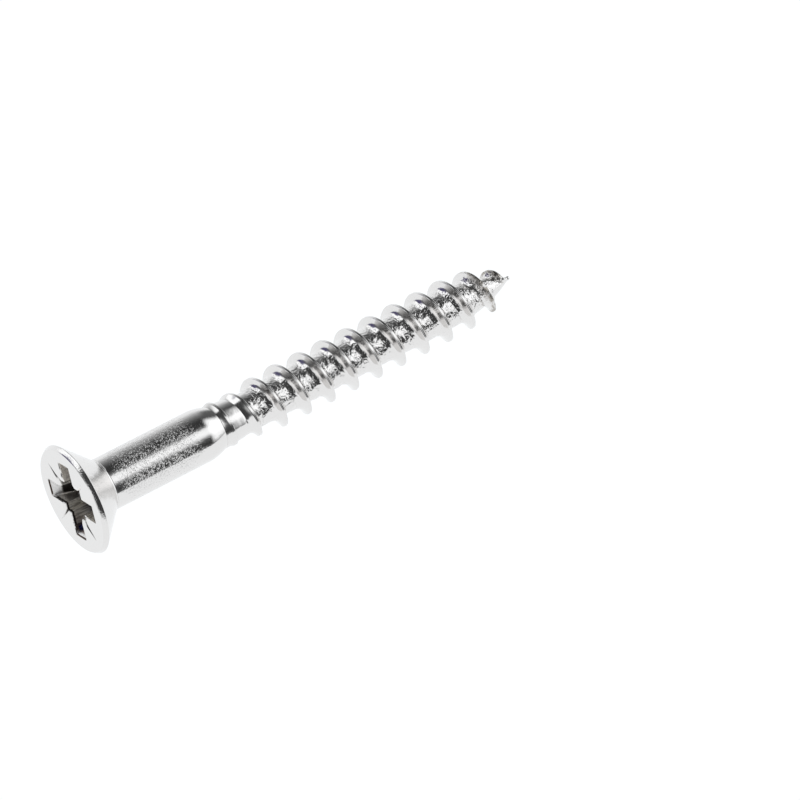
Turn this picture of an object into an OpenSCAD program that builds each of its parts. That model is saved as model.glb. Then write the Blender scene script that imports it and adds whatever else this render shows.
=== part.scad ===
// Cross-recess countersunk wood screw, 5.0 x 40 mm, lying on its side.
// The screw's axis is the X axis: the head's flat face is the plane X = 0, the point is at X = length.
// Every node is one region of the same piece of steel, closed, and meets the next face to face.

/* [Size] */
// Length over all, from the head's flat face to the point
length = 40; // [38:0.5:44]
// Where the plain shank has turned in to the neck
shank_end = 12.8; // [12:0.05:13]
// Where the neck has thinned to the thread's core
core_from = 16.2; // [16:0.1:18]
// Where the core starts to curve in to the point
point_from = 33; // [31:0.1:34]

/* [Head] */
// Diameter at the rim, the widest part of the screw
head_d = 8.86; // [8.7:0.01:9.2]
// Diameter of the flat top face, inside the bevelled edge
face_d = 8.38; // [8.2:0.02:8.5]
// How far below the face the bevelled edge ends
rim_h = 0.36; // [0.33:0.01:0.45]
// Included angle of the countersink cone
countersink_angle = 90; // [88:1:91]

/* [Drive recess] */
// Span across two opposite wings at the face
wing_span = 6.3; // [5.6:0.1:6.4]
// Span across two opposite wings at the bottom of the recess
wing_span_deep = 3; // [2.6:0.1:3.6]
// Width of a wing at the face
wing_w = 1.55; // [1.4:0.05:1.7]
// Width of a wing at the bottom of the recess
wing_w_deep = 1.2; // [1.1:0.05:1.35]
// Side of the square socket between the wings at the face
socket_w = 2.7; // [2.5:0.1:2.9]
// Side of the square socket at the bottom of the recess
socket_w_deep = 2.1; // [1.8:0.1:2.3]
// Side of the shallow square lead-in round the socket
lead_w = 3.5; // [3.2:0.1:3.7]
// Depth of the lead-in where it meets the socket
lead_depth = 0.1; // [0.06:0.02:0.14]
// Depth of the wings and the socket
recess_depth = 2.3; // [2:0.1:2.3]
// Depth of the pilot cone below the socket
pilot_depth = 0.4; // [0.2:0.1:0.4]
// Length of each tick mark between the wings
tick_len = 1.3; // [1:0.1:1.5]
// Width of each tick mark at the face
tick_w = 0.18; // [0.1:0.02:0.24]
// Turn of the recess about the screw's axis, in degrees
recess_turn = 70; // [0:1:90]

/* [Shank] */
// Diameter of the plain shank
shank_d = 4.15; // [4.05:0.01:4.25]
// Diameter of the neck where the shank ends
neck_d = 3.5; // [3.4:0.01:3.7]
// Length of the soft shoulder at the shank's end
shoulder_len = 1.5; // [1:0.1:2]
// Radius of the fillet between the countersink and the shank
fillet_r = 0.2; // [0.1:0.05:0.35]

/* [Thread] */
// Diameter over the thread's crests
thread_d = 4.58; // [4.5:0.01:4.8]
// Diameter of the core between the threads
core_d = 3; // [2.8:0.02:3.1]
// Advance of the right-hand thread in one turn
pitch = 2.17; // [2.1:0.01:2.2]
// Width of the crest
crest_w = 0.2; // [0.1:0.02:0.3]
// Slope of each flank from square to the axis, in degrees
flank_angle = 20; // [15:1:24]
// Extra width on each side where a flank flares into the root
root_flare = 0.155; // [0.05:0.005:0.2]
// Where an even helix would start; the thread's first trace lies closer to the threads that follow
thread_from = 12.5; // [12.4:0.1:12.6]
// How far the first trace lies from where an even helix would put it
trace_shift = 0.4; // [0.3:0.05:0.45]
// How far the first trace stands out from the neck where it starts
trace_start_h = 0.24; // [0.1:0.02:0.28]
// How far it stands out from the neck half a turn on
trace_h = 0.09; // [0.04:0.01:0.12]
// Where the crest starts to climb from the first trace to its full diameter
climb_from = 13.4; // [13.3:0.1:14]
// Where the crest reaches its full diameter
full_from = 18.6; // [17.5:0.1:19.5]
// Where the crest starts to sink towards the point
sink_from = 37.8; // [37:0.1:38.2]
// Distance from the thread's end to the point
thread_gap = 0.61; // [0.55:0.01:0.8]
// Angle about the axis at which a crest lies at crest_at
crest_turn = 305; // [0:5:360]
// A place along the axis where a crest lies
crest_at = 17.99; // [17:0.01:19.2]

/* [Hidden] */
STEEL = [0.78, 0.79, 0.81];
STEEL_DARK = [0.66, 0.67, 0.70];
$fn = 64;
EPS = 0.02;
// How far the thread's underside sits inside the core
THREAD_SINK = 0.03;
// Curvature of the point: 1 is a straight cone, more is fuller
POINT_POWER = 2.5;
// Curvature of the shoulder: 1 is a straight cone, more is fuller
SHOULDER_POWER = 1.7;
// How bluntly the crest sinks at the point: less is blunter
SINK_POWER = 0.68;
STEPS_PER_TURN = 32;
// Length in which the first trace rises, and the stretch over which it sinks and joins the even helix
TRACE_RISE = 0.15;
TRACE_LEN = 1.4;
// How far the bevelled edge bulges between the face and the rim: 0 is a straight bevel
RIM_CROWN = 0.25;
THREAD_TO = length - thread_gap;
// Angle of the countersink's side from the axis, and the length of the head that follows from it
SIDE_ANGLE = countersink_angle / 2;
FILLET_IN = fillet_r * (1 - cos(SIDE_ANGLE));
CONE_LEN = ((head_d - shank_d) / 2 - FILLET_IN) / tan(SIDE_ANGLE);
HEAD_LEN = rim_h + CONE_LEN + fillet_r * sin(SIDE_ANGLE);
// Heights up a flank, from the root (0) to the crest (1), where the tooth's section has a corner
FLANK_STOPS = [0, 0.22, 0.8, 1];

// A smooth step from 0 to 1 as x goes from a to b
function blend(x, a, b) = let (u = min(1, max(0, (x - a) / (b - a)))) (1 - cos(180 * u)) / 2;

// Radius of the core at x, from the neck to the point
function core_r(x) =
    x < core_from ? neck_d / 2 + (core_d - neck_d) / 2 * blend(x, shank_end, core_from)
    : x < point_from ? core_d / 2
    : core_d / 2 * (1 - pow((x - point_from) / (length - point_from), POINT_POWER));

// Place along the axis of the crest, where an even helix would be at x
function crest_place(x) = x + trace_shift * (1 - blend(x, thread_from, thread_from + TRACE_LEN));

// Height of the thread's crest above the core at x
function crest_h(x) =
    let (
        start = thread_from + trace_shift,
        climb = (thread_d - neck_d) / 2 - trace_h,
        sunk = blend(x, start, start + TRACE_LEN / 2),
        trace = (trace_h * sunk + trace_start_h * (1 - sunk)) * blend(x, start, start + TRACE_RISE),
        crest_r = neck_d / 2 + trace + climb * blend(x, climb_from, full_from),
        full = x < sink_from ? crest_r - core_r(x) : (thread_d - core_d) / 2,
        u = min(1, max(0, (x - sink_from) / (THREAD_TO - sink_from)))
    )
    x < sink_from ? min(full, (thread_d - core_d) / 2) : full * pow(cos(90 * u), SINK_POWER);

// Half the width of a tooth of height h at the share f of that height
function half_tooth(h, f) =
    crest_w / 2 + h * (1 - f) * tan(flank_angle) + root_flare * h / (thread_d - core_d) * 2 * pow(1 - f, 3);

// The tooth's section round the helix at x: up one flank and down the other, as [x, radius]
function tooth(x) =
    let (
        h = max(crest_h(x), 0.01),
        up = [for (f = FLANK_STOPS) [x - half_tooth(h, f), f]],
        down = [for (i = [len(FLANK_STOPS) - 1 : -1 : 0]) [x + half_tooth(h, FLANK_STOPS[i]), FLANK_STOPS[i]]]
    )
    [for (p = concat(up, down))
        [p[0], p[1] == 0 ? core_r(min(p[0], length)) - THREAD_SINK : core_r(x) + h * p[1]]];

// Lays a shape that was drawn upright, along Z, down along X
module lie() {
    rotate([0, 90, 0]) children();
}

// Solid of revolution from a list of [radius, x]
module turned(points) {
    lie() rotate_extrude() polygon(points);
}

// A four-sided block whose sides slope evenly from one rectangle to another, widened past its top
module tapered_block(top, bottom, depth) {
    grow = (top - bottom) * EPS / depth;
    upper = (top + grow) / 2;
    lower = bottom / 2;
    polyhedron(
        points = [
            for (corner = [[-1, -1], [1, -1], [1, 1], [-1, 1]])
                [corner[0] * upper[0], corner[1] * upper[1], -EPS],
            for (corner = [[-1, -1], [1, -1], [1, 1], [-1, 1]])
                [corner[0] * lower[0], corner[1] * lower[1], depth]
        ],
        faces = [[0, 1, 2, 3], [7, 6, 5, 4], [0, 4, 5, 1], [1, 5, 6, 2], [2, 6, 7, 3], [3, 7, 4, 0]]
    );
}

// The drive recess: two crossed pairs of wings, a square socket with a shallow lead-in,
// a pilot cone and four tick marks
module drive_recess() {
    for (turn = [0, 90])
        rotate(turn)
            tapered_block([wing_span, wing_w], [wing_span_deep, wing_w_deep], recess_depth);
    tapered_block([socket_w, socket_w], [socket_w_deep, socket_w_deep], recess_depth);
    tapered_block([lead_w, lead_w], [socket_w, socket_w], lead_depth);
    translate([0, 0, recess_depth - EPS])
        cylinder(h = pilot_depth + EPS, r1 = wing_w_deep / 2, r2 = 0.1);
    for (turn = [45 : 90 : 315])
        rotate(turn)
            translate([socket_w / sqrt(2) - EPS, 0, 0])
                rotate([45, 0, 0])
                    translate([0, -tick_w / sqrt(8), -tick_w / sqrt(8)])
                        cube([tick_len, tick_w / sqrt(2), tick_w / sqrt(2)]);
}

// Countersunk head with its bevelled edge and the fillet that runs into the shank
module head() {
    edge = [for (t = [0 : 0.25 : 1])
        [(face_d + (head_d - face_d) * (t + RIM_CROWN * t * (1 - t))) / 2, rim_h * t]];
    fillet = [for (i = [3 : -1 : 0])
        let (a = SIDE_ANGLE * i / 3)
        [shank_d / 2 + fillet_r * (1 - cos(a)), HEAD_LEN - fillet_r * sin(a)]];
    color(STEEL)
        difference() {
            turned(concat([[0, 0]], edge, fillet, [[0, HEAD_LEN]]));
            lie() rotate(recess_turn) drive_recess();
        }
}

// Plain shank, from the head to the end of the soft shoulder
module shank() {
    drop = (shank_d - neck_d) / 2;
    shoulder = [for (t = [0 : 0.125 : 1])
        [shank_d / 2 - drop * pow(t, SHOULDER_POWER), shank_end - shoulder_len * (1 - t)]];
    color(STEEL)
        turned(concat([[0, HEAD_LEN], [shank_d / 2, HEAD_LEN]], shoulder, [[0, shank_end]]));
}

// One stretch of the core between two places along the axis, in steps of equal length
module core_stretch(from, to, steps) {
    outline = [for (i = [0 : steps])
        let (x = from + (to - from) * i / steps) [max(core_r(x), 0), x]];
    turned(concat([[0, from]], outline, to < length ? [[0, to]] : []));
}

// Neck on which the thread runs out
module runout_neck() {
    color(STEEL) core_stretch(shank_end, core_from, 12);
}

// Straight core under the full thread
module thread_core() {
    color(STEEL) core_stretch(core_from, point_from, 1);
}

// Curved gimlet point, without its thread
module gimlet_point() {
    color(STEEL) core_stretch(point_from, length, 18);
}

// The right-hand thread: a tooth swept along the helix, rising from the neck and sinking to the point
module thread() {
    corners = 2 * len(FLANK_STOPS);
    steps = floor((THREAD_TO - thread_from) / pitch * STEPS_PER_TURN);
    rings = [for (i = [0 : steps])
        let (
            x = thread_from + i * pitch / STEPS_PER_TURN,
            turn = crest_turn + (x - crest_at) / pitch * 360
        )
        [for (p = tooth(crest_place(x))) [p[1] * cos(turn), p[1] * sin(turn), p[0]]]];
    points = [for (ring = rings) for (p = ring) p];
    sides = [for (i = [0 : steps - 1]) for (k = [0 : corners - 1])
        let (
            a = i * corners + k,
            b = i * corners + (k + 1) % corners
        )
        for (face = [[a, a + corners, b], [b, a + corners, b + corners]]) face];
    start_cap = [for (k = [0 : corners - 1]) k];
    end_cap = [for (k = [corners - 1 : -1 : 0]) steps * corners + k];
    color(STEEL_DARK) lie() polyhedron(points = points, faces = concat(sides, [start_cap, end_cap]));
}

head();
shank();
runout_neck();
thread_core();
gimlet_point();
thread();
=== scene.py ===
"""A bright zinc-plated wood screw with a cross recess, lying on its side, built round its CAD frame.

The screw's axis is X: the head's flat face is at x = 0 and the point is at the far end.
Lengths in this script are millimetres, times MM where Blender takes them, and angles about the axis go
from +Y to +Z.
"""

import math

import bpy
import numpy as np
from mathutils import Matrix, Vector


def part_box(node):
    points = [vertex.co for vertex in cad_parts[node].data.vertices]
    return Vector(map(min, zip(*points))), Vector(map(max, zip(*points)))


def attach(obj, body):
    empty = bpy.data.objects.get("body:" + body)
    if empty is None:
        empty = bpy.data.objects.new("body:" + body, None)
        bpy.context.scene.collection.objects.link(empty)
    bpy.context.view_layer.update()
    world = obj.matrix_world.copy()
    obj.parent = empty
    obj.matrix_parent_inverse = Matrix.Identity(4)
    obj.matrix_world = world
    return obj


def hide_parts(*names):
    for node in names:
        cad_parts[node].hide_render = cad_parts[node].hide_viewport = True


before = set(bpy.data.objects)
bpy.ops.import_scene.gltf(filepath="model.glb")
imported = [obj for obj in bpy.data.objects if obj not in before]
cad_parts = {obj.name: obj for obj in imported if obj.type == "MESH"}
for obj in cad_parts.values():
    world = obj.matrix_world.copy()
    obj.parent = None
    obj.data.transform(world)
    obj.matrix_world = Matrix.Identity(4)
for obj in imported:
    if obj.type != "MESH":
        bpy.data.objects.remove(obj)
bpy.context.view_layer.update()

MM = 0.001
TAU = 2 * math.pi
TINY = 1e-9

# ---------------------------------------------------------------- sizes, from the frame and by name


def span_of(node):
    """Where a node starts and ends along the axis, and its radius, in millimetres."""
    low, high = (np.array(corner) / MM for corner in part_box(node))
    return low[0], high[0], (high[1] - low[1]) / 2


HEAD_FROM, HEAD_TO, HEAD_R = span_of("head")
SHANK_FROM, SHANK_TO, SHANK_R = span_of("shank")
NECK_FROM, NECK_TO, NECK_R = span_of("runout_neck")
CORE_FROM, CORE_TO, CORE_R = span_of("thread_core")
POINT_FROM, POINT_TO, _ = span_of("gimlet_point")
_, _, CREST_R = span_of("thread")

# Head: flat face, bevelled edge with its two rounded corners, countersink and fillet
FACE_R = 4.19
RIM_X = 0.36
RIM_CROWN = 0.25
FACE_CORNER = 0.03
RIM_CORNER = 0.035
FILLET_R = 0.2
# Place plus radius: about 4.8 on the countersink, and less than this everywhere in the recess
CONE_SUM = 4.3

# Drive recess, in a frame turned with its wings
RECESS_TURN = math.radians(-20)
WING_SPAN = 6.3
WING_SPAN_DEEP = 3.0
WING_W = 1.55
WING_W_DEEP = 1.2
SOCKET_W = 2.7
SOCKET_W_DEEP = 2.1
LEAD_W = 3.5
LEAD_DEPTH = 0.1
RECESS_DEPTH = 2.3
PILOT_DEPTH = 0.4
TICK_OUT = 3.55
TICK_W = 0.38
TICK_SLOPE = 1.2
TICK_POWER = 0.8
MOUTH_ROUND = 0.05
STREAK_DEPTH = 0.008
STREAK_W = 0.35

# Lines of the face's grid out from its middle, as (from, to, step): close together at the side walls of
# the wings, at the socket's walls and at the wings' ends
FACE_LINES = [
    (0, 0.55, 0.05), (0.55, 0.88, 0.0125), (0.88, 1.0, 0.03), (1.0, 1.45, 0.0167),
    (1.45, 1.8, 0.025), (1.8, 3.28, 0.02), (3.28, 3.36, 0.04),
]
# The grid is square inside the first radius, and bent to a circle at the second
GRID_SQUARE_R = 3.29
GRID_ROUND_R = 3.98

# Shank's soft shoulder, and its peel: layers of (depth, lump size, seed), which fade in over a stretch
# before the shoulder, and the room left for them under the CAD shank's radius
SHOULDER_LEN = 1.5
SHOULDER_POWER = 1.7
PEEL = [(0.0006, 0.24, 1), (0.0005, 0.13, 2)]
PEEL_FADE = (1.6, 3.4)
PEEL_ROOM = 0.002

# Thread: right-hand helix with a crest at a known place and angle
PITCH = 2.17
CREST_AT = 17.99
CREST_TURN = math.radians(215)
CREST_W = 0.2
FLANK_ANGLE = math.radians(20)
# How far each flank flares out at its root, and the share of its height over which the flare fades
ROOT_FLARE = 0.2
FLARE_FADE = 0.08
HEAD_SIDE_FLARE = 0.42
HEAD_SIDE_FADE = 0.18
# How deep the thread stands in the core, and how far its flanks waver
SUNK = 0.04
WAVER = 0.01
WAVER_SIZE = 0.7
# The first turns: a low trace, shifted towards the point, with a long flat apron on its head side
TRACE_APRON = 0.36
APRON_FADE = 2.1
APRON_TO = 16.9
THREAD_FROM = 12.5
TRACE_SHIFT = 0.4
TRACE_START_H = 0.24
TRACE_H = 0.09
TRACE_RISE = 0.15
TRACE_LEN = 1.4
# Where the crest climbs to its full height, and where it sinks into the point
CLIMB_FROM = 13.4
FULL_FROM = 18.6
SINK_FROM = 37.8
SINK_TO = POINT_TO - 0.61
SINK_POWER = 0.68

# Core: the point's taper and nib, the mark turned into the neck, and the dents that rolling leaves, as
# layers of (depth, lump size, seed)
POINT_POWER = 2.5
NIB_R = 0.17
TIP_R = 0.004
NECK_MARK_AT = 14.75
NECK_MARK_DEPTH = 0.16
NECK_MARK_W = 0.08
DENTS = [(0.022, 0.40, 5), (0.018, 0.23, 6), (0.009, 0.13, 7)]
# The share of the dents that the neck has, where they grow to their full depth, and how far from the tip
# they fade out
NECK_DENTS = 0.1
DENTS_GROW = (15.0, 16.8)
DENTS_FADE = (0.2, 3.0)
# The share of the thread's height that the roots' dents climb
DENTS_CLIMB = 0.3

# ---------------------------------------------------------------- relief


def hashed(ix, iy, iz, seed):
    """A repeatable number from -1 to 1 for each lattice point."""
    h = (ix * 374761393 + iy * 668265263 + iz * 2147483647 + seed * 1274126177) & 0xFFFFFFFF
    h = ((h ^ (h >> 13)) * 1103515245 + 12345) & 0xFFFFFFFF
    h = ((h ^ (h >> 16)) * 22695477 + 1) & 0xFFFFFFFF
    return ((h >> 8) & 0xFFFF) / 32767.5 - 1


def noise(p, size, seed=0):
    """Smooth noise from about -1 to 1 at the points p, with lumps about size across."""
    q = np.asarray(p, float) / size
    base = np.floor(q).astype(np.int64)
    f = q - base
    f = f * f * (3 - 2 * f)
    total = np.zeros(q.shape[:-1])
    for dx in (0, 1):
        for dy in (0, 1):
            for dz in (0, 1):
                weight = (
                    np.where(dx, f[..., 0], 1 - f[..., 0])
                    * np.where(dy, f[..., 1], 1 - f[..., 1])
                    * np.where(dz, f[..., 2], 1 - f[..., 2])
                )
                total += weight * hashed(base[..., 0] + dx, base[..., 1] + dy, base[..., 2] + dz, seed)
    return total


def relief(p, layers):
    """Sum of several layers of noise at the points p, each given as (height, lump size, seed)."""
    return sum(height * noise(p, size, seed) for height, size, seed in layers)


def smooth_step(x, a, b):
    """Rises from 0 to 1 as x goes from a to b."""
    u = np.clip((x - a) / (b - a), 0, 1)
    return u * u * (3 - 2 * u)


def round_x(x, angle, r):
    """Points on a surface round the axis, from place, angle and radius."""
    return np.stack([x + 0 * r, r * np.cos(angle), r * np.sin(angle)], axis=-1)


# ---------------------------------------------------------------- meshes


def make_piece(name, points, faces, node, slot, *materials):
    """Makes one closed, smooth-shaded piece that stands for a CAD node."""
    mesh = bpy.data.meshes.new(name)
    mesh.from_pydata((np.asarray(points) * MM).tolist(), [], faces)
    mesh.update()
    mesh.polygons.foreach_set("use_smooth", [True] * len(mesh.polygons))
    for material in materials:
        mesh.materials.append(material)
    piece = bpy.data.objects.new(name, mesh)
    bpy.context.scene.collection.objects.link(piece)
    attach(piece, "root")
    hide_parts(node)
    return piece


def assign(mesh, choose):
    """Sets each face's material from its centre."""
    centres = np.empty(len(mesh.polygons) * 3)
    mesh.polygons.foreach_get("center", centres)
    mesh.polygons.foreach_set("material_index", choose(centres.reshape(-1, 3)).astype(int).tolist())


def skin(rings):
    """Quads between closed rings of points, ring after ring, as indices in the flattened rings."""
    rows, count = rings.shape[:2]
    across = np.arange(count)
    faces = []
    for i in range(rows - 1):
        a = i * count + across
        b = i * count + (across + 1) % count
        faces.append(np.stack([a, b, b + count, a + count], axis=1))
    return np.concatenate(faces).tolist()


def closed_round(rings):
    """Points and faces of closed rings, each end shut by a fan to its middle.

    The faces point outwards where the rings run anticlockwise about the way from the first to the last.
    """
    rows, count = rings.shape[:2]
    points = np.concatenate([rings.reshape(-1, 3), rings[[0, -1]].mean(axis=1)])
    start, end = rows * count, rows * count + 1
    last = (rows - 1) * count
    faces = skin(rings)
    faces += [[start, (k + 1) % count, k] for k in range(count)]
    faces += [[end, last + k, last + (k + 1) % count] for k in range(count)]
    return points, faces


def along(*stretches):
    """Places along a line: each stretch is (from, to, step)."""
    parts = [np.linspace(a, b, max(2, round((b - a) / step) + 1))[:-1] for a, b, step in stretches]
    return np.concatenate(parts + [[stretches[-1][1]]])


# ---------------------------------------------------------------- head


def wall(inset, slope):
    """Depth of a recess wall at a distance inside its top edge, with the mouth's rounding outside it."""
    over = np.clip(MOUTH_ROUND + inset, 0, MOUTH_ROUND)
    mouth = MOUTH_ROUND - np.sqrt(MOUTH_ROUND**2 - over**2)
    return np.where(inset < 0, mouth, MOUTH_ROUND + inset * slope)


def streaks(place, seed):
    """How far the punch's tool marks push a wall in or out, along the wall's top edge."""
    p = np.stack([place, 0 * place, 0 * place], axis=-1)
    return STREAK_DEPTH * noise(p, STREAK_W, seed)


def wing_depth(u, v, seed):
    """Depth of the pair of wings that lie along u."""
    side_slope = 2 * RECESS_DEPTH / (WING_W - WING_W_DEEP)
    end_slope = 2 * RECESS_DEPTH / (WING_SPAN - WING_SPAN_DEEP)
    side = wall(WING_W / 2 - np.abs(v) + streaks(u, seed), side_slope)
    end = wall(WING_SPAN / 2 - np.abs(u) + streaks(v, seed + 2), end_slope)
    return np.minimum(side, end)


def socket_depth(u, v):
    """Depth of the square socket between the wings, with its shallow lead-in and the pilot cone."""
    slope = 2 * RECESS_DEPTH / (SOCKET_W - SOCKET_W_DEEP)
    out = np.maximum(np.abs(u), np.abs(v))
    steep = np.minimum(
        wall(SOCKET_W / 2 - np.abs(u) + streaks(v, 31), slope),
        wall(SOCKET_W / 2 - np.abs(v) + streaks(u, 37), slope),
    )
    lead = np.clip(LEAD_W / 2 - out, 0, None) * 2 * LEAD_DEPTH / (LEAD_W - SOCKET_W)
    return np.maximum(steep, lead)


def tick_depth(u, v):
    """Depth of the four tick marks: open grooves that widen towards the socket, and just past its corner."""
    s = (np.abs(u) + np.abs(v)) / math.sqrt(2)
    q = np.abs(np.abs(u) - np.abs(v)) / math.sqrt(2)
    share = np.clip((TICK_OUT - s) / (TICK_OUT - SOCKET_W / math.sqrt(2)), 0, 1.1)
    half = TICK_W / 2 * share**TICK_POWER
    return np.clip(half - q, 0, None) * TICK_SLOPE


def face_depth(u, v):
    """Depth below the head's face, in the frame turned with the recess."""
    floor = RECESS_DEPTH + np.clip(PILOT_DEPTH * (1 - np.hypot(u, v) / (WING_W_DEEP / 2)), 0, None)
    deep = np.maximum(np.maximum(wing_depth(u, v, 3), wing_depth(v, u, 11)), socket_depth(u, v))
    return np.maximum(np.minimum(deep, floor), tick_depth(u, v))


def face_grid():
    """The face as a square grid with its lines close together at the recess walls, bent to a round edge."""
    half = along(*FACE_LINES)
    line = np.concatenate([-half[:0:-1], half])
    u, v = np.meshgrid(line, line, indexing="ij")
    r = np.hypot(u, v)
    edge_r = half[-1] * r / np.maximum(np.maximum(np.abs(u), np.abs(v)), TINY)
    stretch = (GRID_ROUND_R - GRID_SQUARE_R) / np.maximum(edge_r - GRID_SQUARE_R, TINY)
    bent = GRID_SQUARE_R + (r - GRID_SQUARE_R) * stretch
    scale = np.where(r > GRID_SQUARE_R, bent / np.maximum(r, TINY), 1)
    return u * scale, v * scale, face_depth(u * scale, v * scale)


def grid_rim(n):
    """Indices round the edge of an n by n grid, in order."""
    k = np.arange(n - 1)
    top, right = k * n, (n - 1) * n + k
    return np.concatenate([top, right, (n - 1 - k) * n + n - 1, n - 1 - k])


def bend(a, b, c, cut):
    """Rounds the corner at b of the line from a through b to c."""
    a, b, c = (np.array(p, float) for p in (a, b, c))
    start = b + (a - b) * cut / np.linalg.norm(a - b)
    end = b + (c - b) * cut / np.linalg.norm(c - b)
    return [tuple((1 - t) ** 2 * start + 2 * t * (1 - t) * b + t**2 * end) for t in np.linspace(0, 1, 7)]


def bevel(t):
    """The bevelled edge, slightly crowned, from the face (t = 0) to the widest ring (t = 1)."""
    return RIM_X * t, FACE_R + (HEAD_R - FACE_R) * (t + RIM_CROWN * t * (1 - t))


def head_profile():
    """The head outside its face grid: (place, radius) from the face, over the edge and down the cone."""
    flat = [(0, r) for r in np.linspace(GRID_ROUND_R + 0.04, FACE_R - 0.04, 5)]
    cone_to = HEAD_TO - FILLET_R * math.sin(math.pi / 4)
    cone_r = SHANK_R + FILLET_R * (1 - math.cos(math.pi / 4))
    cone = [
        (x, HEAD_R + (cone_r - HEAD_R) * (x - RIM_X) / (cone_to - RIM_X))
        for x in np.linspace(RIM_X + 0.06, cone_to, 40)
    ]
    fillet = [
        (HEAD_TO - FILLET_R * math.sin(a), SHANK_R + FILLET_R * (1 - math.cos(a)))
        for a in np.linspace(math.pi / 4, 0, 8)[1:]
    ]
    inner = bend(flat[-1], bevel(0), bevel(0.3), FACE_CORNER)
    edge = [bevel(t) for t in np.linspace(0.16, 0.84, 7)]
    outer = bend(bevel(0.7), bevel(1), cone[1], RIM_CORNER)
    return np.array(flat + inner + edge + outer + cone + fillet)


def on_cone(centres):
    """True for faces of the countersink: behind the edge, and further out than the recess at any depth."""
    x, r = centres[:, 0], np.hypot(centres[:, 1], centres[:, 2])
    return (x > (RIM_X + 0.01) * MM) & (x + r > CONE_SUM * MM)


def build_head(materials):
    """The face's grid, rings from its edge down the outside to the shank, and a fan that shuts the end."""
    u, v, depth = face_grid()
    n = u.shape[0]
    turn_c, turn_s = math.cos(RECESS_TURN), math.sin(RECESS_TURN)
    y, z = u * turn_c - v * turn_s, u * turn_s + v * turn_c
    top = np.stack([depth, y, z], axis=-1).reshape(-1, 3)
    rim = grid_rim(n)
    angle = np.arctan2(top[rim, 2], top[rim, 1])
    profile = head_profile()
    x = profile[:, 0][:, None] + 0 * angle[None]
    r = profile[:, 1][:, None] + 0 * angle[None]
    rows = round_x(x, angle[None] + 0 * x, r)
    points = np.concatenate([top, rows.reshape(-1, 3), [[HEAD_TO, 0, 0]]])
    count = len(rim)
    index = np.arange(n * n).reshape(n, n)
    quads = np.stack([index[:-1, :-1], index[:-1, 1:], index[1:, 1:], index[1:, :-1]], axis=-1).reshape(-1, 4)
    rings = [rim] + [n * n + i * count + np.arange(count) for i in range(len(profile))]
    faces = quads.tolist()
    for a, b in zip(rings, rings[1:]):
        faces += np.stack([a, np.roll(a, -1), np.roll(b, -1), b], axis=1).tolist()
    last, centre = rings[-1], len(points) - 1
    faces += np.stack([0 * last + centre, last, np.roll(last, -1)], axis=1).tolist()
    piece = make_piece("screw_head", points, faces, "head", "bright_plate", *materials)
    assign(piece.data, on_cone)


# ---------------------------------------------------------------- shank and core


def blend(x, a, b):
    """A smooth step from 0 to 1 along half a cosine wave."""
    return (1 - np.cos(math.pi * np.clip((x - a) / (b - a), 0, 1))) / 2


def core_r(x):
    """Radius of the core, from the neck to the point."""
    neck = NECK_R + (CORE_R - NECK_R) * blend(x, NECK_FROM, NECK_TO)
    u = np.clip((x - POINT_FROM) / (POINT_TO - POINT_FROM), 0, 1)
    return np.where(x < CORE_FROM, neck, CORE_R * (1 - u**POINT_POWER))


def turned_piece(name, node, slot, places, radius, materials, around):
    """A closed piece turned round the axis: radius is a function of place and angle."""
    angle = np.linspace(0, TAU, around, endpoint=False)
    x, a = np.meshgrid(places, angle, indexing="ij")
    points, faces = closed_round(round_x(x, a, radius(x, a)))
    return make_piece(name, points, faces, node, slot, *materials)


def shank_radius(x, angle):
    """Radius of the shank: a fine peel on the wire, and a soft shoulder down to the neck."""
    p = round_x(x, angle, 0 * x + SHANK_R)
    from_end = np.clip((x - (SHANK_TO - SHOULDER_LEN)) / SHOULDER_LEN, 0, 1)
    drop = (SHANK_R - NECK_R) * from_end**SHOULDER_POWER
    peel = relief(p, PEEL) * smooth_step(SHANK_TO - x, *PEEL_FADE)
    return SHANK_R - PEEL_ROOM - drop + peel


def build_shank(materials):
    shoulder = SHANK_TO - SHOULDER_LEN
    places = along((SHANK_FROM, shoulder, 0.05), (shoulder, SHANK_TO, 0.03))
    turned_piece("screw_shank", "shank", "bright_plate", places, shank_radius, materials, around=320)


def dents(p):
    """Height of the core's relief at full strength: the neck's turned mark, and the dents of the roots."""
    mark = NECK_MARK_DEPTH * np.exp(-(((p[..., 0] - NECK_MARK_AT) / NECK_MARK_W) ** 2))
    return relief(p, DENTS) - mark


def dent_share(x):
    """How strongly the roots are dented: hardly on the neck, fully along the thread, fading at the tip."""
    on_neck = NECK_DENTS * smooth_step(x, NECK_FROM, NECK_FROM + 0.5)
    return (on_neck + (1 - NECK_DENTS) * smooth_step(x, *DENTS_GROW)) * smooth_step(POINT_TO - x, *DENTS_FADE)


def dented_core(x, angle):
    """Radius of the dented core, ending in a small round nib."""
    r = core_r(x)
    nib = np.sqrt(np.clip(NIB_R**2 - (x - (POINT_TO - NIB_R)) ** 2, 0, None))
    return np.maximum(np.maximum(r + dents(round_x(x, angle, r)) * dent_share(x), nib), TIP_R)


def build_core(materials):
    """The neck, the core under the thread, and the point."""
    tip = POINT_TO - 1
    for name, node, slot, stretches in (
        ("screw_neck", "runout_neck", "bright_plate", [(NECK_FROM, NECK_TO, 0.05)]),
        ("screw_core", "thread_core", "rolled_plate", [(CORE_FROM, CORE_TO, 0.05)]),
        ("screw_point", "gimlet_point", "rolled_plate", [(POINT_FROM, tip, 0.05), (tip, POINT_TO, 0.02)]),
    ):
        turned_piece(name, node, slot, along(*stretches), dented_core, materials, around=200)


# ---------------------------------------------------------------- thread


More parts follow.
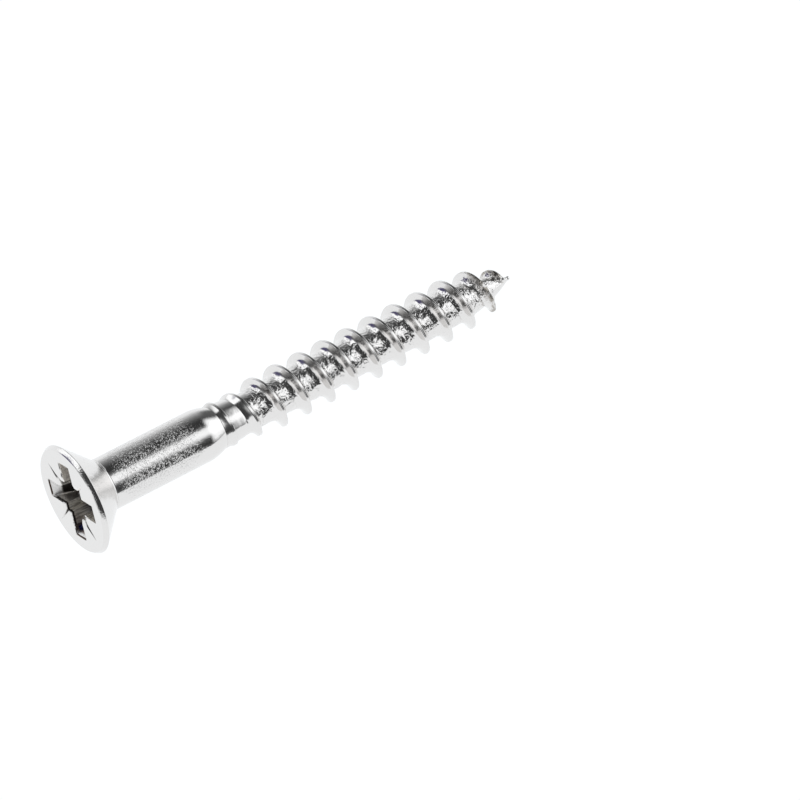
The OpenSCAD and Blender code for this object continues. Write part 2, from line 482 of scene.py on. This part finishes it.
def crest_height(x):
    """Height of the crest above the core."""
    full = CREST_R - CORE_R
    start = THREAD_FROM + TRACE_SHIFT
    trace = TRACE_H + (TRACE_START_H - TRACE_H) * (1 - blend(x, start, start + TRACE_LEN / 2))
    trace = trace * blend(x, start, start + TRACE_RISE)
    rising = NECK_R + trace + (CREST_R - NECK_R - TRACE_H) * blend(x, CLIMB_FROM, FULL_FROM)
    u = np.clip((x - SINK_FROM) / (SINK_TO - SINK_FROM), 0, 1)
    sinking = full * np.cos(math.pi / 2 * u) ** SINK_POWER
    return np.where(x < SINK_FROM, np.minimum(rising - core_r(x), full), sinking)


# Shares of a flank's height where its section has a point, closer together in the concave root
FLANK_SHARES = [0, 0.012, 0.03, 0.055, 0.09, 0.14, 0.2, 0.27, 0.35, 0.43, 0.52, 0.63, 0.76, 0.87, 0.94, 0.98]
# The crest's section: place across it from -1 to 1, and share of the height, with a shallow seam
CREST_SHARES = [(-0.8, 1.0), (-0.35, 1.0), (0.0, 0.985), (0.35, 1.0), (0.8, 1.0)]
STEPS_PER_TURN = 160


def flank_place(h, f, side):
    """Half the width of the tooth at the share f of its height: a straight flank with a flared root."""
    flare, reach = (ROOT_FLARE, FLARE_FADE) if side > 0 else (HEAD_SIDE_FLARE, HEAD_SIDE_FADE)
    straight = CREST_W / 2 + h * (1 - f) * math.tan(FLANK_ANGLE)
    return straight + flare * np.exp(-f / reach) * h / (CREST_R - CORE_R)


def build_thread(materials):
    """The tooth's section swept along the helix: point side, crest, then head side."""
    steps = int((SINK_TO - THREAD_FROM) / PITCH * STEPS_PER_TURN)
    even = np.linspace(THREAD_FROM, SINK_TO, steps)
    turn = CREST_TURN + (even - CREST_AT) / PITCH * TAU
    x0 = even + TRACE_SHIFT * (1 - blend(even, THREAD_FROM, THREAD_FROM + TRACE_LEN))
    h = np.maximum(crest_height(x0), 0.01)
    apron = TRACE_APRON * (1 - blend(x0, APRON_TO - APRON_FADE, APRON_TO))
    section = [(1, f) for f in FLANK_SHARES]
    section += [(s * CREST_W / 2, f) for s, f in reversed(CREST_SHARES)]
    section += [(-1, f) for f in reversed(FLANK_SHARES)]
    columns = []
    for side, f in section:
        on_flank = abs(side) == 1
        x = x0 + (side * flank_place(h, f, side) if on_flank else side)
        if side == -1:
            x = x - apron * (1 - f)
        x = np.minimum(x, POINT_TO)
        r = core_r(x0) + h * f
        p = round_x(x, turn, r)
        if f == 0:
            r = core_r(x) - SUNK
        else:
            r = r + dents(p) * dent_share(x0) * max(0, 1 - f / DENTS_CLIMB)
            x = x + WAVER * noise(p, WAVER_SIZE, 8) * h.max() * f
        columns.append(round_x(x, turn, r))
    points, faces = closed_round(np.stack(columns, axis=1))
    make_piece("screw_thread", points, faces, "thread", "rolled_plate", *materials)


# ---------------------------------------------------------------- materials

PLATE = (0.765, 0.75, 0.738)
# The recess walls' darker streak colour: partly the punch's streaks, partly painted shade in the recess
DARK_STREAK_AND_SHADE = (0.40, 0.385, 0.36)
STREAKED = (0.84, 0.82, 0.78)
# Painted light on two recess walls
PAINTED_LIGHT = (0.88, 0.84, 0.79)
# Painted shadow: black in the recess's shaded corners and in the ticks' grooves
PAINTED_SHADOW = (0.03, 0.026, 0.024)
BROWN = (0.05, 0.036, 0.028)
# Blue-black: painted shade deep in the bottom wing, and a small blue-black spot
BLUE_BLACK = (0.07, 0.07, 0.22)
# Brown painted shade on the bottom wing's wall
BROWN_SHADE = (0.24, 0.19, 0.17)
SHADED = (0.13, 0.12, 0.115)
BURNT = (0.38, 0.355, 0.32)


def new_material(name):
    material = bpy.data.materials.new(name)
    material.use_nodes = True
    return material, material.node_tree, material.node_tree.nodes["Principled BSDF"]


def noise_node(tree, coords, size, detail, roughness):
    """Noise from 0 to 1 with lumps about size across, in millimetres."""
    node = tree.nodes.new("ShaderNodeTexNoise")
    node.inputs["Scale"].default_value = 1 / (size * MM)
    node.inputs["Detail"].default_value = detail
    node.inputs["Roughness"].default_value = roughness
    tree.links.new(coords, node.inputs["Vector"])
    return node.outputs["Fac"]


def bump_node(tree, height, distance):
    """The normal of a surface that a height of 1 lifts by distance, in millimetres."""
    node = tree.nodes.new("ShaderNodeBump")
    node.inputs["Strength"].default_value = 1
    node.inputs["Distance"].default_value = distance * MM
    tree.links.new(height, node.inputs["Height"])
    return node.outputs["Normal"]


def math_in(tree, op, a, b=0.0):
    node = tree.nodes.new("ShaderNodeMath")
    node.operation = op
    for socket, value in zip(node.inputs, (a, b)):
        if isinstance(value, (int, float)):
            socket.default_value = value
        else:
            tree.links.new(value, socket)
    return node.outputs["Value"]


def product(tree, first, *others):
    """The product of all the values. For masks that is where they overlap."""
    for other in others:
        first = math_in(tree, "MULTIPLY", first, other)
    return first


def map_range(tree, value, low, high, to_low=0.0, to_high=1.0):
    """Goes smoothly from to_low to to_high as the value goes from low to high."""
    node = tree.nodes.new("ShaderNodeMapRange")
    node.interpolation_type = "SMOOTHSTEP"
    tree.links.new(value, node.inputs["Value"])
    node.inputs["From Min"].default_value = low
    node.inputs["From Max"].default_value = high
    node.inputs["To Min"].default_value = to_low
    node.inputs["To Max"].default_value = to_high
    return node.outputs["Result"]


def fade(tree, place, start, full):
    """A mask that rises from 0 to 1 as a place goes from start to full, in millimetres."""
    return map_range(tree, place, start * MM, full * MM)


def near(tree, place, target, reach):
    """A mask that is 1 where a place is close to target and 0 past reach, in millimetres."""
    gap = math_in(tree, "ABSOLUTE", math_in(tree, "SUBTRACT", place, target * MM))
    return fade(tree, gap, reach, reach * 0.7)


def dot_in(tree, coords, direction):
    node = tree.nodes.new("ShaderNodeVectorMath")
    node.operation = "DOT_PRODUCT"
    tree.links.new(coords, node.inputs[0])
    node.inputs[1].default_value = direction
    return node.outputs["Value"]


def color_mix(tree, share, a, b, blend_type="MIX"):
    """Colour a with the share of b mixed in. Each is a socket or a tuple, and the share may be a number."""
    node = tree.nodes.new("ShaderNodeMix")
    node.data_type = "RGBA"
    node.blend_type = blend_type
    if isinstance(share, (int, float)):
        node.inputs["Factor"].default_value = share
    else:
        tree.links.new(share, node.inputs["Factor"])
    for socket, value in zip((node.inputs[6], node.inputs[7]), (a, b)):
        if isinstance(value, tuple):
            socket.default_value = (*value, 1)
        else:
            tree.links.new(value, socket)
    return node.outputs[2]


def metal(name, roughness):
    """Zinc plate, and the place along the axis and the distance from it of each shaded point."""
    material, tree, bsdf = new_material(name)
    bsdf.inputs["Metallic"].default_value = 1.0
    bsdf.inputs["Base Color"].default_value = (*PLATE, 1)
    bsdf.inputs["Roughness"].default_value = roughness
    coords = tree.nodes.new("ShaderNodeTexCoord").outputs["Object"]
    split = tree.nodes.new("ShaderNodeSeparateXYZ")
    tree.links.new(coords, split.inputs["Vector"])
    x, y, z = split.outputs
    off_axis = math_in(tree, "SQRT", math_in(tree, "ADD", product(tree, y, y), product(tree, z, z)))
    return material, tree, bsdf, coords, x, off_axis


def shank_zinc():
    """Bright plate over drawn wire: a dense worm-like orange peel, calmer near the head and the shoulder."""
    material, tree, bsdf, coords, x, _ = metal("shank_zinc", 0.07)
    past_head = fade(tree, x, SHANK_FROM + 0.2, SHANK_FROM + 1.6)
    before_shoulder = fade(tree, x, SHANK_TO - 1.9, SHANK_TO - 3.5)
    strength = math_in(tree, "ADD", product(tree, past_head, before_shoulder, 0.88), 0.12)
    worms = map_range(tree, noise_node(tree, coords, 0.17, 1.5, 0.6), 0.54, 0.64)
    grain = map_range(tree, noise_node(tree, coords, 0.09, 2.0, 0.6), 0.56, 0.68)
    height = math_in(tree, "ADD", worms, product(tree, grain, 0.5))
    tree.links.new(bump_node(tree, product(tree, height, strength), 0.0135), bsdf.inputs["Normal"])
    return material


def cone_zinc():
    """Plate over the die-formed countersink: soft gloss, faintly uneven."""
    material, tree, bsdf, coords, _, _ = metal("cone_zinc", 0.16)
    soft = noise_node(tree, coords, 0.5, 3.0, 0.6)
    tree.links.new(bump_node(tree, soft, 0.012), bsdf.inputs["Normal"])
    tree.links.new(map_range(tree, soft, 0.3, 0.7, 0.12, 0.2), bsdf.inputs["Roughness"])
    return material


def wall_color(tree, x, u, v, lines):
    """The recess's walls: streaked by the punch and darker than the plate as painted shade, lighter on two
    walls as painted light, and black on two as painted shadow.
    """
    # Streaks of the punch, whose darker colour is also painted shade in the recess
    streaked = color_mix(tree, map_range(tree, lines, 0.35, 0.65), DARK_STREAK_AND_SHADE, STREAKED)
    # Painted light: the upper wing's wall and the left wing's side are lightened where they face the light
    upper_wing = fade(tree, v, 1.15, 1.35)
    left_wing_side = product(tree, fade(tree, v, -0.62, -0.66), fade(tree, u, 1.2, 1.5))
    color = color_mix(tree, math_in(tree, "MAXIMUM", upper_wing, left_wing_side), streaked, PAINTED_LIGHT)
    # Painted shadow: the left wing's end wall and the lower left edge of the mouth are painted black
    left_wing = product(tree, fade(tree, u, 1.6, 1.8), fade(tree, v, -0.66, -0.6))
    left_wing_end = product(tree, left_wing, fade(tree, x, 0.62, 0.8))
    lower_left = fade(tree, math_in(tree, "SUBTRACT", u, v), 1.5, 1.9)
    lower_left_edge = product(tree, lower_left, fade(tree, x, 0.34, 0.24))
    return color_mix(tree, math_in(tree, "MAXIMUM", left_wing_end, lower_left_edge), color, PAINTED_SHADOW)


def face_color(tree, coords, x, off_axis, within, inside, lines):
    """Plate on the face, and in the recess its walls, painted shade deep down, a brown painted shade on the
    bottom wing's wall, a blue-black spot, the wings' ends lit with painted light, thin dark brown lines at
    the ends, and ticks darkened with painted shade.
    """
    turn_c, turn_s = math.cos(RECESS_TURN), math.sin(RECESS_TURN)
    # u runs along the left wing and v along the upper one
    u = dot_in(tree, coords, (0, turn_c, turn_s))
    v = dot_in(tree, coords, (0, -turn_s, turn_c))
    color = color_mix(tree, inside, PLATE, wall_color(tree, x, u, v, lines))
    # Painted shade deep in the recess, blue-black in the bottom wing
    deep = product(tree, fade(tree, x, 1.1, 2.4), within)
    color = color_mix(tree, deep, color, color_mix(tree, fade(tree, v, -1.7, -2.1), SHADED, BLUE_BLACK))
    # Painted shade: the bottom wing's wall is painted dark brown
    bottom_wing = product(tree, inside, fade(tree, v, -2.35, -2.55))
    color = color_mix(tree, bottom_wing, color, BROWN_SHADE)
    blue = product(tree, fade(tree, x, 0.3, 0.42), near(tree, v, -2.82, 0.18), fade(tree, u, 0.25, 0.45))
    color = color_mix(tree, blue, color, BLUE_BLACK)
    # Painted light: the wings' ends keep the plate's colour, lit against the recess's painted shade
    lit_ends = math_in(tree, "MAXIMUM", fade(tree, u, 2.68, 2.8), fade(tree, v, -2.92, -3.05))
    color = color_mix(tree, lit_ends, color, PLATE)
    for across, far, end in ((v, u, WING_SPAN / 2), (u, v, -WING_SPAN / 2)):
        line = product(tree, near(tree, far, end, 0.05), near(tree, across, 0, 0.8))
        color = color_mix(tree, line, color, BROWN)
    # Painted shade in the ticks' grooves
    on_diagonal = near(tree, math_in(tree, "SUBTRACT", u, v), 0, 0.35)
    ticks = product(tree, fade(tree, x, 0.01, 0.04), near(tree, off_axis, 2.9, 0.85), on_diagonal)
    return color_mix(tree, ticks, color, PAINTED_SHADOW)


def face_zinc():
    """Mirror plate on the face, nicked along the bevel; in the recess streaked by the punch and darker as
    painted shade.
    """
    material, tree, bsdf, coords, x, off_axis = metal("face_zinc", 0.08)
    stretch = tree.nodes.new("ShaderNodeMapping")
    tree.links.new(coords, stretch.inputs["Vector"])
    stretch.inputs["Scale"].default_value = (0.08, 1, 1)
    lines = noise_node(tree, stretch.outputs["Vector"], 0.13, 1.0, 0.5)
    within = fade(tree, off_axis, 3.6, 3.3)
    inside = product(tree, fade(tree, x, 0.07, 0.16), within)
    tree.links.new(face_color(tree, coords, x, off_axis, within, inside, lines), bsdf.inputs["Base Color"])
    tree.links.new(map_range(tree, inside, 0, 1, 0.07, 0.38), bsdf.inputs["Roughness"])
    on_bevel = fade(tree, off_axis, FACE_R + 0.02, FACE_R + 0.06)
    nicks = noise_node(tree, coords, 0.12, 2.0, 0.6)
    height = math_in(tree, "ADD", product(tree, lines, inside, 0.8), product(tree, nicks, on_bevel, 1.1))
    tree.links.new(bump_node(tree, height, 0.014), bsdf.inputs["Normal"])
    return material


def rolled_zinc():
    """Plate over the rolled thread: glossy flanks, dimpled roots, and a rough burnt crest near the point."""
    material, tree, bsdf, coords, x, off_axis = metal("rolled_zinc", 0.1)
    roots = product(tree, fade(tree, off_axis, CORE_R + 0.28, CORE_R + 0.05), fade(tree, x, 15.2, 16.6))
    # The crests sink towards the tip, and so does the level above which they are burnt
    sinking = product(tree, math_in(tree, "SUBTRACT", x, 37 * MM), 0.45)
    crests = fade(tree, math_in(tree, "ADD", off_axis, sinking), 1.62, 1.85)
    blotches = map_range(tree, noise_node(tree, coords, 0.5, 3.0, 0.6), 0.35, 0.55)
    burnt = product(tree, crests, fade(tree, x, 35.9, 36.6), blotches)
    tree.links.new(color_mix(tree, burnt, PLATE, BURNT), bsdf.inputs["Base Color"])
    gloss = map_range(tree, roots, 0, 1, 0.14, 0.07)
    tree.links.new(math_in(tree, "ADD", gloss, product(tree, burnt, 0.1)), bsdf.inputs["Roughness"])
    fine = map_range(tree, noise_node(tree, coords, 0.21, 1.0, 0.5), 0.38, 0.62)
    rough = math_in(tree, "ADD", math_in(tree, "MAXIMUM", roots, burnt), 0.04)
    tree.links.new(bump_node(tree, product(tree, fine, rough), 0.014), bsdf.inputs["Normal"])
    return material


# ---------------------------------------------------------------- floor

FLOOR_Z = -HEAD_R
FLOOR_FRONT = -36.0
FLOOR_REACH = 300.0
# The studio's white is a little cool, which the plate's warm tint evens out
WHITE = (1.013, 1.033, 1.05)


def glowing(name, color):
    material, tree, bsdf = new_material(name)
    tree.nodes.remove(bsdf)
    glow = tree.nodes.new("ShaderNodeEmission")
    glow.inputs["Color"].default_value = (*color, 1)
    tree.links.new(glow.outputs["Emission"], tree.nodes["Material Output"].inputs["Surface"])
    return material


def build_floor():
    """A white floor that the head's edge touches, and which ends in front of the screw."""
    left, front, z = Vector((-FLOOR_REACH, FLOOR_FRONT, FLOOR_Z)) * MM
    right = back = FLOOR_REACH * MM
    mesh = bpy.data.meshes.new("floor")
    corners = [(left, front, z), (right, front, z), (right, back, z), (left, back, z)]
    mesh.from_pydata(corners, [], [[0, 1, 2, 3]])
    mesh.materials.append(glowing("pale_floor", WHITE))
    floor = bpy.data.objects.new("floor", mesh)
    bpy.context.scene.collection.objects.link(floor)


# ---------------------------------------------------------------- studio

# What the metal mirrors. Each ramp is for light from one part of the room, and gives its brightness or its
# colour by the angle round the screw's axis, in degrees from level at the back, up and over to the front.
VIOLET = (0.10, 0.09, 0.17)
PAST_HEAD = [
    (0, 0.14), (40, 0.14), (60, 0.2), (85, 0.35), (102, 0.9), (128, 1.15), (150, 1.0), (172, 0.6),
    (186, 0.55), (200, 0.85), (222, 0.9), (284, 0.9), (291, 0.6), (298, 0.85), (306, 0.6), (314, 0.36),
    (320, 0.2), (326, 0.11), (331, VIOLET), (344, VIOLET), (352, 0.14), (360, 0.14),
]
NEAR_HEAD = [
    (0, VIOLET), (36, VIOLET), (51, 1.35), (70, 1.35), (76, 0.06), (185, 0.05), (196, 0.98), (284, 0.9),
    (291, 0.6), (298, 0.85), (306, 0.7), (316, 0.6), (327, 0.5), (330, 0.3), (332, VIOLET), (360, VIOLET),
]
HEAD_HALF = [(0, 0.98), (4, 0.98), (7, 1.35), (70, 1.35), (76, 0.06), (185, 0.05), (196, 0.98), (360, 0.98)]
POINT_HALF = [
    (0, 1.0), (7, 0.9), (17, 0.68), (27, 0.46), (43, 0.22), (57, 0.1), (70, 0.045), (86, 0.04), (97, 0.07),
    (106, 0.28), (111, 0.95), (117, 1.15), (128, 1.24), (137, 1.12), (143, 0.8), (148, 0.34), (156, 0.09),
    (174, 0.04), (185, 0.1), (193, 0.4), (200, 0.8), (211, 1.0), (360, 1.0),
]
NEAR_POINT = [
    (0, 0.75), (8, 0.45), (18, 0.14), (62, 0.1), (74, 0.9), (86, 1.35), (120, 1.5), (150, 1.35), (174, 1.15),
    (184, 0.6), (189, 0.14), (197, 0.2), (204, 0.85), (225, 1.0), (330, 1.0), (360, 0.75),
]
PAST_POINT = [
    (0, 0.7), (15, 0.66), (30, 0.5), (45, 0.58), (60, 1.1), (75, 1.35), (120, 1.5), (150, 1.35), (165, 1.15),
    (182, 0.78), (198, 0.84), (225, 1.0), (255, 1.05), (320, 1.0), (345, 0.75), (360, 0.7),
]
# From PAST_HEAD to the point's end: each ramp takes over from the one before as the share of the light's
# direction that lies along the axis goes from the first number to the second
ROOM = [
    (-0.9, -0.8, NEAR_HEAD), (-0.58, -0.45, HEAD_HALF), (-0.29, -0.1, POINT_HALF),
    (0.43, 0.66, NEAR_POINT), (0.78, 0.9, PAST_POINT),
]
# A ramp's colours stop at 1, so its levels are divided by this and the mixed colour is multiplied by it
BRIGHTEST = 1.6


def ramp(tree, turn, stops):
    """Level or colour by the share of a turn round the axis, from stops of (degrees, level or colour)."""
    node = tree.nodes.new("ShaderNodeValToRGB")
    tree.links.new(turn, node.inputs["Fac"])
    elements = node.color_ramp.elements
    elements.remove(elements[-1])
    for i, (degrees, level) in enumerate(stops):
        element = elements[0] if i == 0 else elements.new(degrees / 360)
        element.position = degrees / 360
        element.color = (*(part / BRIGHTEST for part in np.broadcast_to(level, 3)), 1)
    return node.outputs["Color"]


def build_studio():
    """A room that the metal mirrors, set by direction round and along the axis, and a white backdrop."""
    world = bpy.data.worlds.new("studio")
    bpy.context.scene.world = world
    world.use_nodes = True
    tree = world.node_tree
    coords = tree.nodes.new("ShaderNodeTexCoord").outputs["Generated"]
    split = tree.nodes.new("ShaderNodeSeparateXYZ")
    tree.links.new(coords, split.inputs["Vector"])
    x, y, z = split.outputs
    turns = math_in(tree, "DIVIDE", math_in(tree, "ARCTAN2", z, y), TAU)
    turn = math_in(tree, "FRACT", math_in(tree, "ADD", turns, 1.0))
    room = ramp(tree, turn, PAST_HEAD)
    for start, full, stops in ROOM:
        room = color_mix(tree, map_range(tree, x, start, full), room, ramp(tree, turn, stops))
    tint = tuple(BRIGHTEST * part / WHITE[1] for part in WHITE)
    lit = color_mix(tree, 1, room, tint, "MULTIPLY")
    seen = tree.nodes.new("ShaderNodeLightPath").outputs["Is Camera Ray"]
    tree.links.new(color_mix(tree, seen, lit, WHITE), tree.nodes["Background"].inputs["Color"])


# ---------------------------------------------------------------- camera

AZIMUTH = math.radians(-35.457)
ELEVATION = math.radians(46.472)
DISTANCE = 560.0
AIM_RIGHT = 7.98
AIM_UP = -0.92
LENS = 335.9
CLIP_START = 10.0


def build_camera():
    """A long lens above the head's end, aimed so that the screw lies left of the middle of the picture."""
    right = Vector((math.cos(AZIMUTH), math.sin(AZIMUTH), 0))
    front = Vector((math.sin(AZIMUTH), -math.cos(AZIMUTH), 0))
    back = front * math.cos(ELEVATION) + Vector((0, 0, math.sin(ELEVATION)))
    up = back.cross(right)
    middle = Vector(((HEAD_FROM + POINT_TO) / 2, 0, 0))
    data = bpy.data.cameras.new("camera")
    data.lens = LENS
    data.clip_start = CLIP_START * MM
    camera = bpy.data.objects.new("camera", data)
    camera.location = (middle + back * DISTANCE + right * AIM_RIGHT + up * AIM_UP) * MM
    camera.rotation_euler = back.to_track_quat("Z", "Y").to_euler()
    bpy.context.scene.collection.objects.link(camera)
    bpy.context.scene.camera = camera


# ---------------------------------------------------------------- build

build_camera()
build_floor()
build_studio()
bpy.context.scene.view_settings.view_transform = "Standard"

rolled = rolled_zinc()
build_head([face_zinc(), cone_zinc()])
build_shank([shank_zinc()])
build_core([rolled])
build_thread([rolled])
